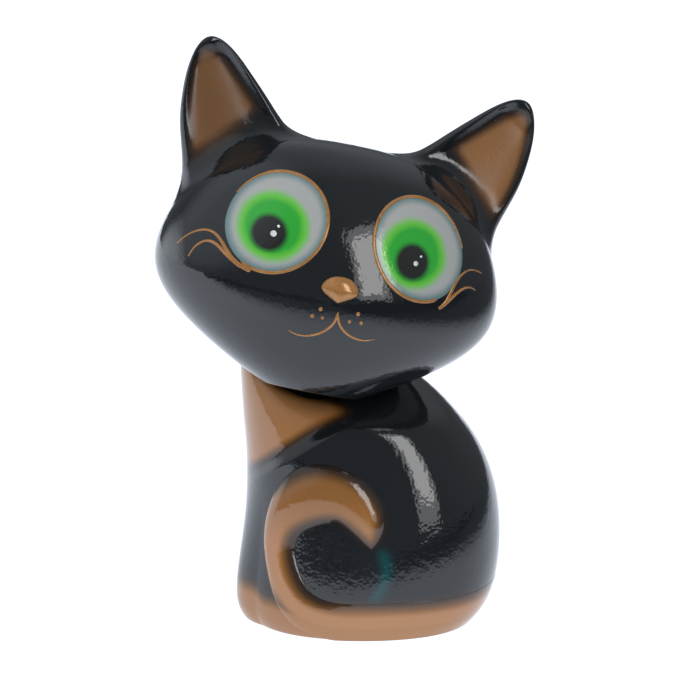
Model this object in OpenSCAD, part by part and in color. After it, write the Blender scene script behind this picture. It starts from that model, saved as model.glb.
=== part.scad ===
// Seated cat figurine with a tilted head, slip cast in sections and glazed.
// Origin: centre of the foot on the table, +Z up, the face looks along -Y,
// and the cat's chest points along -X. Millimetres.

/* [Body] */
// Length of the body from chest to rump, at its widest
body_l = 106; // [88:1:128]
// Depth of the body across the haunches
body_w = 98; // [81:1:118]
// Height of the neck rim at the chest
body_h = 104.5; // [88:0.5:125]
// Thickness of the body casting
body_wall = 6; // [4:0.5:8]
// How far the flank stands proud of the chest
flank_rise = 3.6; // [1:0.2:5]
// Thickness of the floor plate
floor_t = 5; // [3:0.5:8]
// Diameter of the vent hole in the floor plate
vent_d = 16; // [8:1:24]
// Distance of the vent hole from the middle of the floor, towards the rump
vent_off = 20; // [14:1:26]

/* [Forelegs] */
// Width of a foreleg, measured round the body
leg_w = 27; // [20:1:33]
// Height of a foreleg up to the shoulder
leg_h = 58; // [46:1:66]
// How far a foreleg stands proud of the chest
leg_rise = 2.4; // [2:0.2:6]

/* [Tail] */
// Width of the tail where it leaves the rump and lies on the table
root_w = 16.5; // [13:0.5:19]
// Width of the tail where it rises at the chest
rising_w = 15.5; // [12:0.5:19]
// Width of the tail in its curl
tail_w = 24; // [20:0.5:28]
// How far the curled end of the tail stands proud of the flank
tail_rise = 5; // [3:0.5:8]
// Height of the curled end above the table
tail_h = 72.5; // [62:0.5:80]

/* [Head] */
// Width of the head across the cheeks
head_w = 143; // [120:1:172]
// Height of the head from chin to crown
head_h = 106; // [88:1:128]
// Depth of the head from muzzle to nape
head_d = 105; // [88:1:126]
// Thickness of the head casting at the cheeks
head_wall = 6; // [4:0.5:8]
// How far the chin sinks below the neck rim
chin_sink = 14; // [10:1:20]
// How far the head sits towards the chest end of the body
head_shift = 16; // [8:1:22]
// How far the head sits forward of the body's centre line
head_fore = 5; // [0:1:12]
// Sideways tilt of the head, in degrees
head_roll = 12; // [0:0.5:16]
// Turn of the head, in degrees
head_yaw = 5.5; // [0:0.5:12]
// Upward look of the head, in degrees
head_pitch = 11; // [0:0.5:14]

/* [Ears] */
// Length of an ear above its root
ear_l = 51.5; // [43:0.5:62]
// Width of an ear at its root
ear_w = 47; // [39:0.5:57]
// Depth of an ear at its root
ear_d = 26; // [20:1:32]
// Outward lean of an ear, in degrees
ear_lean = 22.5; // [10:0.5:30]
// Forward nod of an ear, in degrees
ear_nod = 10; // [0:1:15]
// Depth of the hollow in the ear's front face
ear_cup = 5; // [2:0.5:6]

/* [Face] */
// Short width of a painted eye, which is an oval
eye_w = 37.5; // [31:0.5:45]
// Long width of a painted eye
eye_h = 42.5; // [35:0.5:51]
// Lean of the eyes towards each other at the top, in degrees
eye_lean = 33.5; // [0:0.5:45]
// Distance between the centres of the eyes
eye_gap = 58; // [50:0.5:70]
// Height of the eyes above the widest line of the head
eye_up = 18; // [12:0.5:22]
// Thickness of the enamel of an eye
eye_t = 0.5; // [0.4:0.1:1]
// Width of the nose
nose_w = 15; // [12:0.5:20]
// Height of the nose
nose_h = 10.5; // [8.5:0.5:13]
// How far the nose stands proud of the muzzle
nose_rise = 3; // [2:0.5:5]
// Depth of the nose below the widest line of the head
nose_down = 4; // [0:0.5:8]

/* [Hidden] */

ROUND = 76;       // points round a casting
EMBED = 0.15;     // how far a luted piece beds into the glaze under it
black = "#15181b";
bronze = "#b5793a";
green = "#3fae3c";
clay = "#c9b7a2";

// ---- curves and skins -------------------------------------------------------

// Weights of a uniform cubic B-spline at the fraction f of a span.
function weights(f) = [pow(1 - f, 3), 3 * pow(f, 3) - 6 * f * f + 4,
                       -3 * pow(f, 3) + 3 * f * f + 3 * f + 1, pow(f, 3)] / 6;

// Point of the B-spline with control rows P, for t from 0 to len(P) - 3.
function spline(P, t) =
    let (i = min(floor(t), len(P) - 4))
    weights(t - i) * [P[i], P[i + 1], P[i + 2], P[i + 3]];

// Control rows with an extra row at each end, so the curve runs through both end rows.
function clamped(P) =
    let (n = len(P))
    concat([2 * P[0] - P[1]], P, [2 * P[n - 1] - P[n - 2]]);

function smooth(a, b, x) =
    let (u = min(max((x - a) / (b - a), 0), 1))
    u * u * (3 - 2 * u);

// Triangles between rows of n points; with loop, the last row joins the first.
function bands(rows, n, loop = false) =
    [for (i = [0 : rows - (loop ? 1 : 2)], j = [0 : n - 1])
        let (a = i * n + j, b = i * n + (j + 1) % n,
             c = ((i + 1) % rows) * n + (j + 1) % n, d = ((i + 1) % rows) * n + j)
        each [[a, c, b], [a, d, c]]];

// Closed skin through rows of points with a tip point at each end.
module tipped_skin(tip_a, rows, tip_b) {
    n = len(rows[0]);
    m = len(rows);
    last = (m - 1) * n;
    polyhedron(
        concat([for (r = rows) each r], [tip_a, tip_b]),
        concat(bands(m, n),
               [for (j = [0 : n - 1]) [m * n, j, (j + 1) % n]],
               [for (j = [0 : n - 1]) [m * n + 1, last + (j + 1) % n, last + j]]));
}

// Closed skin through rows of points that run round a wall and back to the first row.
module looped_skin(rows) {
    polyhedron([for (r = rows) each r], bands(len(rows), len(rows[0]), true));
}

// Cuts the second child from the first as one mesh.
module trimmed() {
    resize([0, 0, 0]) difference() {
        children(0);
        children(1);
    }
}

// ---- body -------------------------------------------------------------------

// Profile of the body from foot to neck rim: [front edge, back edge, half depth, height],
// the edges as shares of the length, the depth of the width, the height of the height.
BODY = clamped([
    [-0.458, 0.445, 0.510, 0.000],
    [-0.500, 0.500, 0.535, 0.060],
    [-0.490, 0.538, 0.531, 0.200],
    [-0.463, 0.542, 0.498, 0.430],
    [-0.458, 0.485, 0.462, 0.650],
    [-0.480, 0.335, 0.404, 0.860],
    [-0.492, 0.100, 0.260, 0.970]]);
body_top = len(BODY) - 3;
body_curve = [for (t = [0 : 0.1 : body_top + 0.01]) spline(BODY, min(t, body_top))];
front_at = [for (r = body_curve) [r[3] * body_h, r[0] * body_l]];
back_at = [for (r = body_curve) [r[3] * body_h, r[1] * body_l]];
depth_at = [for (r = body_curve) [r[3] * body_h, r[2] * body_w]];
rim_z = body_curve[len(body_curve) - 1][3] * body_h;

rim_lift = 2.5;     // the rim rises this much at the chest and drops as much at the back
rim_dip = 5;        // and it dips at both sides, where the head rests
neck_rise = 8.6;    // the head leans to the face side, so behind it the rim climbs to meet it
neck_side = 120;    // the rim climbs twice as much at this angle and not at all opposite it
squareness = 0.10;  // fullness of the body's plan between its axes
ridge_x = -0.19 * body_l;   // where the flank's edge starts to bend down
ridge_z = 0.77 * body_h;    // its height there
ridge_slope = 0.62;
ridge_bend = 0.006;         // how fast it bends down past that place, per millimetre
ridge_soft = [-1.5, 4];     // the flank sinks to the chest between these distances from it

// Height of a point of the chest over the flank's edge; below zero on the flank.
function over_ridge(x, z) =
    let (past = max(ridge_x - x, 0))
    z - ridge_z - ridge_slope * (x - ridge_x) + ridge_bend * past * past;

// Point of the body's surface: angle round it (0 at the rump, 180 at the chest, negative
// on the face side), height, and how far the point lies inside (+) or outside (-).
function body_point(angle, z, inside = 0) =
    let (front = lookup(z, front_at), back = lookup(z, back_at),
         half = (back - front) / 2 - inside, depth = lookup(z, depth_at) - inside,
         c = cos(angle), s = sin(angle),
         x = (front + back) / 2 + half * c * (1 + squareness * s * s),
         sunk = flank_rise * smooth(ridge_soft[0], ridge_soft[1], over_ridge(x, z)),
         y = (depth - sunk) * s * (1 + squareness * c * c),
         top = smooth(0.8, 1, z / rim_z))
    [x, y, z - top * (rim_lift * c + rim_dip * s * s - neck_rise * (1 + cos(angle - neck_side)))];

function body_ring(z, inside = 0) =
    [for (j = [0 : ROUND - 1]) body_point(360 * j / ROUND, z, inside)];

// Outline of the floor, inside the foot.
function floor_ring() =
    [for (p = body_ring(0, body_wall)) [p.x, p.y]];

// The casting before the head is set on it, open at the rim and at the floor.
module torso_blank() {
    steps = 40;
    inner_steps = 12;
    outer = [for (i = [0 : steps]) body_ring(rim_z * i / steps)];
    inner = [for (i = [inner_steps : -1 : 0])
        body_ring(floor_t + (rim_z - floor_t) * i / inner_steps, body_wall)];
    looped_skin(concat(outer, inner,
        [for (z = [floor_t, 0]) [for (p = floor_ring()) [p.x, p.y, z]]]));
}

module torso_shell()
    color(black) trimmed() {
        torso_blank();
        head_place() head_solid();
    }

module floor_plate()
    color(clay) difference() {
        linear_extrude(floor_t) polygon(floor_ring());
        translate([vent_off, 0, -1]) cylinder(h = floor_t + 2, d = vent_d, $fn = 64);
    }

// ---- raised pieces on the body ----------------------------------------------

around = PI * (body_l + body_w) / 4 / 180;  // millimetres of body surface per degree

ACROSS = 10;            // facets across a raised piece
edge_t = 0.45;          // its thickness at its edges

// Section of a raised piece, over the top and back underneath: the middle on the body as
// [angle, height], the direction across it, its half width and its rise.
function lens_row(mid, side, half, rise) =
    let (place = function (v, out)
            body_point(mid[0] + v * half * side[0] / around, max(mid[1] + v * half * side[1], 0),
                       EMBED - out),
         top = [for (k = [0 : ACROSS])
            let (v = 2 * k / ACROSS - 1) place(v, EMBED + edge_t + rise * sqrt(1 - v * v))],
         under = [for (k = [ACROSS : -1 : 0]) place(2 * k / ACROSS - 1, 0)])
    concat(top, under);

leg_apart = 0.62;       // distance of a leg from the middle of the chest, as a share of its width

// side is 1 for the leg on the far side of the chest and -1 for the one on the face side.
module foreleg(side)
    color(black) {
        steps = 14;
        strip_skin([for (i = [0 : steps])
            let (u = i / steps * 0.985,
                 half = leg_w / 2 * sqrt(1 - pow(u, 8)),
                 rise = leg_rise * (1 - 0.35 * smooth(0.25, 0.8, u)) * sqrt(1 - pow(u, 6)))
            lens_row([side * (180 - leg_apart * leg_w / around), leg_h * u], [1, 0], half, rise)]);
    }

// Closed skin of a strip: each row runs over the top and back underneath.
module strip_skin(rows) {
    n = len(rows[0]);
    m = len(rows);
    polyhedron([for (r = rows) each r],
        concat(bands(m, n), [[for (j = [0 : n - 1]) j]],
               [[for (j = [n - 1 : -1 : 0]) (m - 1) * n + j]]));
}

// Middle line of the tail: [angle round the body, share of the curl's height], from the
// rump round the face side and up into the curl.
TAIL = clamped([
    [-4, 0], [-30, 0], [-56, 0], [-83, 0], [-105, -0.02], [-122, 0.10], [-130.3, 0.37],
    [-134.3, 0.65], [-127, 0.88], [-109.5, 1.03], [-97, 0.96], [-91.5, 0.76], [-90.5, 0.58]]);
tail_end = len(TAIL) - 3;

function tail_mid(u) =
    let (p = spline(TAIL, tail_end * u), low = root_w / 2, high = tail_h - tail_w / 2)
    [p[0], low + p[1] * (high - low)];

// 1 along the tail, falling over its last quarter almost to a point.
function tip_taper(u) = pow(1 - pow(max((u - 0.75) / 0.25, 0), 1.7), 0.8);

module tail()
    color(bronze) {
        steps = 48;
        rows = [for (i = [0 : steps])
            let (u = i / steps * 0.99, a = tail_mid(max(u - 0.01, 0)), b = tail_mid(min(u + 0.01, 1)),
                 du = (b[0] - a[0]) * around, dz = b[1] - a[1], run = norm([du, dz]),
                 taper = tip_taper(u),
                 half = (root_w + (rising_w - root_w) * smooth(0.3, 0.45, u)
                     + (tail_w - rising_w) * smooth(0.5, 0.75, u)) / 2 * taper,
                 rise = tail_rise * smooth(0, 0.6, u) * sqrt(taper),
                 side = [dz / run, -du / run])
            lens_row(tail_mid(u), side, half, rise)];
        strip_skin(rows);
    }

// ---- head -------------------------------------------------------------------

// Profile of the head from chin to crown: [half width, half depth, middle, height], as
// shares of the half width, the depth, the depth and the height. The extra row at each end
// mirrors its neighbour, which rounds the chin and the crown over the axis.
HEAD = [
    [-0.347, -0.21, -0.21, -0.415],
    [0.000, 0.00, -0.20, -0.519],
    [0.347, 0.21, -0.19, -0.415],
    [0.752, 0.39, -0.10, -0.264],
    [1.042, 0.53, -0.03, -0.080],
    [0.965, 0.52, -0.01, 0.189],
    [0.625, 0.34, 0.01, 0.510],
    [0.000, 0.00, 0.02, 0.536],
    [-0.625, -0.34, 0.03, 0.510]];
head_top = len(HEAD) - 3;
neck_open = 0.75;   // place on the profile where the casting is open to the neck
head_curve = [for (t = [0 : 0.08 : head_top + 0.01]) spline(HEAD, min(t, head_top))];
head_half_at = [for (r = head_curve) [r[3] * head_h, r[0] * head_w / 2]];
head_depth_at = [for (r = head_curve) [r[3] * head_h, r[1] * head_d]];
head_middle_at = [for (r = head_curve) [r[3] * head_h, r[2] * head_d]];
chin_z = -head_curve[0][3] * head_h;
muzzle = 2.5;       // how far the muzzle swells
muzzle_r = 16;      // spread of the swelling
nose_off = 0.8;     // the nose sits this far to the chest side of the middle

function swell(x, z) = muzzle * exp(-(x * x + pow(z + nose_down + 6, 2)) / (2 * muzzle_r * muzzle_r));

// Point of the head for the place t on its profile and the angle round it.
function head_point(t, angle) =
    let (r = spline(HEAD, t), c = cos(angle), s = sin(angle),
         x = r[0] * head_w / 2 * c, z = r[3] * head_h)
    [x, (r[2] + r[1] * s) * head_d + swell(x, z) * min(s, 0), z];

function head_ring(t, n, scale = 1) =
    [for (j = [0 : n - 1]) scale * head_point(t, 360 * j / n)];

// Depth of the head's front surface at a place on the face.
function face_y(x, z) =
    let (w = x / lookup(z, head_half_at))
    lookup(z, head_middle_at) - (lookup(z, head_depth_at) + swell(x, z)) * sqrt(max(1 - w * w, 0));

lining = 1 - head_wall / (head_w / 2);   // the inside is the outside, scaled

module head_place()
    translate([-head_shift, -head_fore, body_h - chin_sink + chin_z])
        rotate([0, head_roll, 0]) rotate([0, 0, head_yaw]) rotate([-head_pitch, 0, 0])
            children();

module head_solid() {
    steps = 32;
    tipped_skin(head_point(0, 0),
        [for (i = [1 : steps - 1]) head_ring(head_top * i / steps, ROUND)],
        head_point(head_top, 0));
}

// The casting of the head, open at the neck.
module head_shell()
    color(black) head_place() {
        steps = 24;
        span = head_top - neck_open;
        inner = [for (i = [steps - 2 : -2 : 0])
            head_ring(neck_open + span * i / steps, ROUND, lining)];
        outer = [for (i = [0 : steps - 1]) head_ring(neck_open + span * i / steps, ROUND)];
        tipped_skin(lining * head_point(head_top, 0), concat(inner, outer),
            head_point(head_top, 0));
    }

// ---- ears -------------------------------------------------------------------

// Outline of an ear from below its root to its tip: [inner edge across, inner edge up,
// outer edge across, outer edge up, front depth, back depth], as shares of the width, the
// length, the width, the length, the depth and the depth. The last row mirrors the one
// before the tip.
EAR = [
    [0.90, -0.22, -0.72, -0.42, 0.75, 0.75],
    [0.64, -0.03, -0.58, -0.20, 0.62, 0.62],
    [0.44, 0.15, -0.50, 0.10, 0.42, 0.44],
    [0.34, 0.40, -0.48, 0.38, 0.30, 0.34],
    [0.21, 0.68, -0.40, 0.62, 0.24, 0.26],
    [0.09, 0.92, -0.29, 0.86, 0.17, 0.20],
    [-0.09, 1.06, -0.09, 1.06, 0.00, 0.00],
    [-0.29, 0.86, 0.09, 0.92, -0.17, -0.20]];
ear_rows = len(EAR) - 3;

// Point of the ear: place t from root to tip, angle round it (0 at the inner edge,
// negative on the front), with the front pressed in between its rims.
function ear_point(t, angle) =
    let (r = spline(EAR, t), c = cos(angle), s = sin(angle),
         across = ((r[0] + r[2]) / 2 + (r[0] - r[2]) / 2 * c) * ear_w,
         up = ((r[1] + r[3]) / 2 + (r[1] - r[3]) / 2 * c) * ear_l,
         open = smooth(0.5, 1.6, t) * (1 - smooth(ear_rows - 1.4, ear_rows - 0.3, t)),
         cup = ear_cup * open * smooth(0.35, 0.95, abs(s)),
         y = s < 0 ? r[4] * ear_d * s + cup : r[5] * ear_d * s)
    [across, y, up];

root_x = 0.302 * head_w;    // place of the ear's root on the head
root_z = 0.393 * head_h;
splay = 2;                  // the ear over the rump leans out this much more, in degrees

module ear_solid(lean) {
    steps = 20;
    n = 32;
    translate([-root_x, 0, root_z]) rotate([0, -lean, 0]) rotate([ear_nod, 0, 0])
        tipped_skin(ear_point(0, 90) / 2 + ear_point(0, -90) / 2,
            [for (i = [0 : steps - 1]) [for (j = [0 : n - 1])
                ear_point(ear_rows * i / steps, 360 * j / n)]],
            ear_point(ear_rows, 0));
}

// side is -1 for the ear over the chest and 1 for the other one.
module ear(side)
    color(black) head_place() trimmed() {
        mirror([side > 0 ? 1 : 0, 0, 0]) ear_solid(ear_lean + (side > 0 ? splay : 0));
        head_solid();
    }

// ---- face -------------------------------------------------------------------

// Point on the face, lifted off the head by the height given.
function face_point(x, z, lift) = [x, face_y(x, z) - lift, z];

// Oval of enamel on the face; side is -1 for the eye over the chest and 1 for the other.
module eye(side)
    color(green) head_place() {
        n = 32;
        rings = 5;
        place = function (r, j, lift)
            let (a = r * eye_w / 2 * cos(360 * j / n), b = r * eye_h / 2 * sin(360 * j / n))
            face_point(side * (eye_gap / 2 + a * cos(eye_lean) - b * sin(eye_lean)),
                       eye_up + a * sin(eye_lean) + b * cos(eye_lean), lift);
        under = [for (i = [1 : rings]) [for (j = [0 : n - 1]) place(i / rings, j, -EMBED)]];
        over = [for (i = [rings : -1 : 1]) [for (j = [0 : n - 1]) place(i / rings, j, eye_t)]];
        tipped_skin(place(0, 0, -EMBED), concat(under, over), place(0, 0, eye_t));
    }

// Nose with an arched top and straight lower edges, as the power p of its outline falls
// from two at the top to one at the bottom.
module nose()
    color(bronze) head_place() {
        n = 30;
        rings = 4;
        place = function (r, j, lift)
            let (c = cos(360 * j / n), s = sin(360 * j / n), p = 1.62 + 0.45 * s,
                 out = r / pow(pow(abs(c), p) + pow(abs(s), p), 1 / p))
            face_point(out * nose_w / 2 * c - nose_off, -nose_down + out * nose_h / 2 * s, lift);
        under = [for (i = [1 : rings]) [for (j = [0 : n - 1]) place(i / rings, j, -EMBED)]];
        over = [for (i = [rings : -1 : 1]) [for (j = [0 : n - 1])
            place(i / rings, j, 0.3 + nose_rise * sqrt(1 - pow(i / rings, 2)))]];
        tipped_skin(place(0, 0, -EMBED), concat(under, over), place(0, 0, nose_rise));
    }

module foreleg_left() foreleg(-1);
module foreleg_right() foreleg(1);
module ear_left() ear(1);
module ear_right() ear(-1);
module eye_left() eye(1);
module eye_right() eye(-1);

torso_shell();
floor_plate();
foreleg_left();
foreleg_right();
tail();
head_shell();
ear_left();
ear_right();
eye_left();
eye_right();
nose();
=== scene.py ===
# %% [markdown]
# # A seated cat in glazed ceramic
# The figurine is slip cast: liquid clay is poured into a plaster mould, leaves a wall about
# 6 mm thick, and the pieces are joined while soft. It is then airbrushed, lined by hand
# with a fine brush and covered by a deep gloss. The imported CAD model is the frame. Most
# pieces below stand for a CAD solid and follow the same formulas with a finer mesh, so
# that long reflections run over them without a facet.

# %% Load the frame
import math

import bpy
import numpy as np
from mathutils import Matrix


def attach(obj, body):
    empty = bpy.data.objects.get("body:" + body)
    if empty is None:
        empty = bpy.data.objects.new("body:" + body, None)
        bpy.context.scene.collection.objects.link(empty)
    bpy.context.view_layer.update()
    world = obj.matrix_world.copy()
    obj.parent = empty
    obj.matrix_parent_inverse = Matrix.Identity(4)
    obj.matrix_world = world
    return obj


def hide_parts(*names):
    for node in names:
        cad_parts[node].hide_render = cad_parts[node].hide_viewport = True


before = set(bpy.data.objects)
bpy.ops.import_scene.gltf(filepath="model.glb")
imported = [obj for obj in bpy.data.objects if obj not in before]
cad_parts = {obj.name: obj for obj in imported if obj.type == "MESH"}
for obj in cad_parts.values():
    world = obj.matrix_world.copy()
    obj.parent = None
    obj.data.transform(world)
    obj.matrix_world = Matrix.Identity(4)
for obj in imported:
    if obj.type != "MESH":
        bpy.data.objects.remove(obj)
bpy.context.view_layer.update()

MM = 0.001                      # the shapes are worked out in millimetres
print("nodes:", ", ".join(sorted(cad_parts)))

# %% [markdown]
# ## The camera
# It comes first, because every choice of light depends on where it stands. A long lens a
# little over a metre away looks slightly down, which keeps the proportions calm.

# %% Camera
AIM = np.array([-5.8, 0.0, 110.5])      # what the middle of the picture shows
LOOK_DOWN = math.radians(12)
CAMERA_FAR = 1300.0
VIEW_WIDTH = 290.5                      # width of the view at that distance
CLIP_NEAR, CLIP_FAR = 0.05, 60          # metres

camera = bpy.data.objects.new("camera", bpy.data.cameras.new("camera"))
bpy.context.scene.collection.objects.link(camera)
camera.data.lens = camera.data.sensor_width * CAMERA_FAR / VIEW_WIDTH
camera.data.clip_start, camera.data.clip_end = CLIP_NEAR, CLIP_FAR
back = np.array([0, -math.cos(LOOK_DOWN), math.sin(LOOK_DOWN)])
camera.location = (AIM + CAMERA_FAR * back) * MM
camera.rotation_euler = (math.pi / 2 - LOOK_DOWN, 0, 0)
bpy.context.scene.camera = camera
bpy.context.scene.view_settings.view_transform = "Standard"
print("lens", round(camera.data.lens, 1), "mm")

# %% [markdown]
# ## Curves and skins
# Every casting is a stack of closed rings. A ring comes from a few numbers, such as its
# half width and its middle, and a B-spline draws those numbers smoothly from one height to
# the next. A B-spline is curved evenly everywhere, which matters on a gloss surface: the
# eye sees any jump in curvature as a kink in the reflection.


# %% Splines
def spline(rows, t):
    """Uniform cubic B-spline: each point is a weighted mean of four neighbouring rows, and
    the weights are cubics of the fraction of the span that t has passed."""
    rows, t = np.asarray(rows, float), np.asarray(t, float)
    i = np.clip(np.floor(t).astype(int), 0, len(rows) - 4)
    f = (t - i)[..., None]
    weights = ((1 - f) ** 3, 3 * f**3 - 6 * f**2 + 4, -3 * f**3 + 3 * f**2 + 3 * f + 1, f**3)
    return sum(w * rows[i + k] for k, w in enumerate(weights)) / 6


def clamped(rows):
    """The rows with a reflected row added at each end, so the curve runs through both ends."""
    rows = np.asarray(rows, float)
    return np.vstack([2 * rows[0] - rows[1], rows, 2 * rows[-1] - rows[-2]])


def smooth(low, high, x):
    """0 below low, 1 above high, and 3u^2 - 2u^3 between them, u being the share passed."""
    u = np.clip((x - low) / (high - low), 0, 1)
    return u * u * (3 - 2 * u)


def turned(axis, degrees):
    """Rotation matrix about the axis x, y or z."""
    c, s = math.cos(math.radians(degrees)), math.sin(math.radians(degrees))
    i, j = {"x": (1, 2), "y": (2, 0), "z": (0, 1)}[axis]
    m = np.eye(3)
    m[i, i], m[j, j], m[i, j], m[j, i] = c, c, -s, s
    return m


# %% A mesh from rings of points
def skin(name, rings, tips=None, **stains):
    """Closed skin over rings of points, an array of shape (rings, points, 3) in mm. Without
    tips the last ring joins the first, as round a wall; with tips, each end ring closes on
    its tip point. Each stain is a number per point, kept on the mesh as an attribute. The
    enclosed volume is summed, and a skin that encloses less than nothing is turned over."""
    m, n = rings.shape[:2]
    points = rings.reshape(-1, 3)
    i, j = np.meshgrid(np.arange(m if tips is None else m - 1), np.arange(n), indexing="ij")
    i2, j2 = (i + 1) % m, (j + 1) % n
    faces = np.stack([i * n + j, i2 * n + j, i2 * n + j2, i * n + j2], -1).reshape(-1, 4)
    ends = np.empty((0, 3), int)
    if tips is not None:
        points = np.vstack([points, tips])
        j = np.arange(n)
        k = (j + 1) % n
        last = (m - 1) * n
        ends = np.vstack([np.stack([np.full(n, m * n), j, k], -1),
                          np.stack([np.full(n, m * n + 1), last + k, last + j], -1)])
    corners = points[np.vstack([faces[:, :3], faces[:, [0, 2, 3]], ends])]
    volume = np.einsum("ij,ij->", corners[:, 0], np.cross(corners[:, 1], corners[:, 2])) / 6
    if volume < 0:
        faces, ends = faces[:, ::-1], ends[:, ::-1]
    mesh = bpy.data.meshes.new(name)
    mesh.from_pydata((points * MM).tolist(), [], faces.tolist() + ends.tolist())
    mesh.polygons.foreach_set("use_smooth", np.ones(len(mesh.polygons), bool))
    for stain, values in stains.items():
        values = np.broadcast_to(values, (m, n)).reshape(-1)
        if tips is not None:
            values = np.concatenate([values, [values[:n].mean(), values[-n:].mean()]])
        kept = mesh.attributes.new(stain, "FLOAT", "POINT")
        kept.data.foreach_set("value", values.astype(np.float32))
    piece = bpy.data.objects.new(name, mesh)
    bpy.context.scene.collection.objects.link(piece)
    print(f"{name}: {len(points)} points, {abs(volume) / 1000:.1f} cm3")
    return piece


# %% [markdown]
# ## The head's shape
# The head decides where the body's rim ends, so its formulas come before the body. It is a
# stack of ovals from chin to crown, wider than it is tall, with a slight swelling at the
# muzzle. It is worked out upright, then tilted and turned on the neck.

# %% Head formulas
HEAD_W, HEAD_H, HEAD_D, HEAD_WALL = 143.0, 106.0, 105.0, 6.0
# Each row, from chin to crown: half width in shares of half the width, half depth and
# middle in shares of the depth, and height in shares of the height. The first and last
# rows mirror the ones beyond each pole, so the curve is level where it closes.
HEAD = [[-0.347, -0.21, -0.21, -0.415], [0.000, 0.00, -0.20, -0.519],
        [0.347, 0.21, -0.19, -0.415], [0.752, 0.39, -0.10, -0.264],
        [1.042, 0.53, -0.03, -0.080], [0.965, 0.52, -0.01, 0.189],
        [0.625, 0.34, 0.01, 0.510], [0.000, 0.00, 0.02, 0.536],
        [-0.625, -0.34, 0.03, 0.510]]
HEAD_TOP = len(HEAD) - 3
NECK_OPEN = 0.75            # place on the profile where the casting is open to the neck
NOSE_DOWN = 4.0
MUZZLE, MUZZLE_R, MUZZLE_BELOW = 2.5, 16.0, 6.0      # rise, radius and drop below the nose
BODY_H, CHIN_SINK = 104.5, 14.0
head_curve = spline(HEAD, np.linspace(0, HEAD_TOP, 2000)) * [HEAD_W / 2, HEAD_D, HEAD_D, HEAD_H]
ROLL, YAW, PITCH = 12, 5.5, 11         # degrees: tilt to one side, turn, face raised
TILT = turned("y", ROLL) @ turned("z", YAW) @ turned("x", -PITCH)
HEAD_X, HEAD_Y = -16, -5
HEAD_AT = np.array([HEAD_X, HEAD_Y, BODY_H - CHIN_SINK - head_curve[0, 3]])


def head_profile(z):
    """Half width, half depth and middle of the head at a height, read off its curve."""
    return [np.interp(z, head_curve[:, 3], head_curve[:, k]) for k in (0, 1, 2)]


def swell(x, z):
    """How far the muzzle stands out: a bell curve of the distance below the nose."""
    return MUZZLE * np.exp(-(x**2 + (z + NOSE_DOWN + MUZZLE_BELOW) ** 2) / (2 * MUZZLE_R**2))


def head_point(t, angle):
    """Point at place t from chin to crown and an angle round it: half width times the
    cosine, middle plus half depth times the sine, and the height."""
    half, depth, middle, z = np.moveaxis(spline(HEAD, t), -1, 0)
    x, z, s = half * HEAD_W / 2 * np.cos(angle), z * HEAD_H, np.sin(angle)
    y = (middle + depth * s) * HEAD_D + swell(x, z) * np.minimum(s, 0)
    return np.stack([x, y, z + 0 * x], -1)


FAR_OUTSIDE = 9.0           # what counts as outside above the crown and below the chin


def outside_head(p):
    """Above zero outside the head: the distance from its upright axis, in half widths and
    half depths at that height, less one."""
    x, y, z = np.moveaxis(p, -1, 0)
    half, depth, middle = head_profile(z)
    depth = depth + swell(x, z) * (y < middle)
    r = np.hypot(x / np.maximum(half, 1e-6), (y - middle) / np.maximum(depth, 1e-6))
    within = (z > head_curve[0, 3]) & (z < head_curve[-1, 3])
    return np.where(within, r - 1, FAR_OUTSIDE)


def onto_head(p):
    """The points drawn towards or away from the head's middle until they lie on its
    surface, by halving the range of the scale thirty times."""
    low, high = np.full(p.shape[:-1], 0.2), np.full(p.shape[:-1], 2.5)
    for _ in range(30):
        mid = (low + high) / 2
        out = outside_head(p * mid[..., None]) > 0
        low, high = np.where(out, low, mid), np.where(out, mid, high)
    return p * ((low + high) / 2)[..., None]


def set_on_neck(p):
    """From the head's own upright frame to its place on the body."""
    return p @ TILT.T + HEAD_AT


def front_of_head(x, z, lift=0.0):
    """Point of the face over (x, z), raised by lift along the surface's normal. The front is
    the middle less the half depth times the root of one less the share across squared; the
    normal comes from that surface's slopes."""
    def y(x, z):
        half, depth, middle = head_profile(z)
        return middle - (depth + swell(x, z)) * np.sqrt(np.maximum(1 - (x / half) ** 2, 0))
    e = 0.05
    normal = np.stack([(y(x + e, z) - y(x - e, z)) / (2 * e), -np.ones_like(x * z),
                       (y(x, z + e) - y(x, z - e)) / (2 * e)], -1)
    normal /= np.linalg.norm(normal, axis=-1, keepdims=True)
    return np.stack([x + 0 * z, y(x, z), z + 0 * x], -1) + normal * np.asarray(lift)[..., None]


print("chin at", (set_on_neck(head_point(np.array(0.0), np.array(0.0)))).round(1))

# %% [markdown]
# ## The body
# One closed skin runs up the outside, over the rim, down the lining and back under the
# foot. The flank stands proud of the chest along a slanting edge, and the two forelegs are
# low swellings, so both are worked into the surface rather than added to it. Each column
# of points stops where it meets the head.

# %% Body formulas
BODY_L, BODY_W, BODY_WALL, FLOOR_T = 106.0, 98.0, 6.0, 5.0
FLANK_RISE, SQUARENESS = 3.6, 0.10
RIM_LIFT, RIM_DIP = 2.5, 5.0
NECK_RISE, NECK_SIDE = 8.6, 120.0       # behind the head the rim climbs to meet it
RIDGE_X, RIDGE_Z, RIDGE_SLOPE, RIDGE_BEND = -0.19 * BODY_L, 0.77 * BODY_H, 0.62, 0.006
LEG_W, LEG_H, LEG_RISE, LEG_APART = 27.0, 58.0, 2.4, 0.62
AROUND = math.pi * (BODY_L + BODY_W) / 4 / 180      # mm of surface per degree
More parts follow.
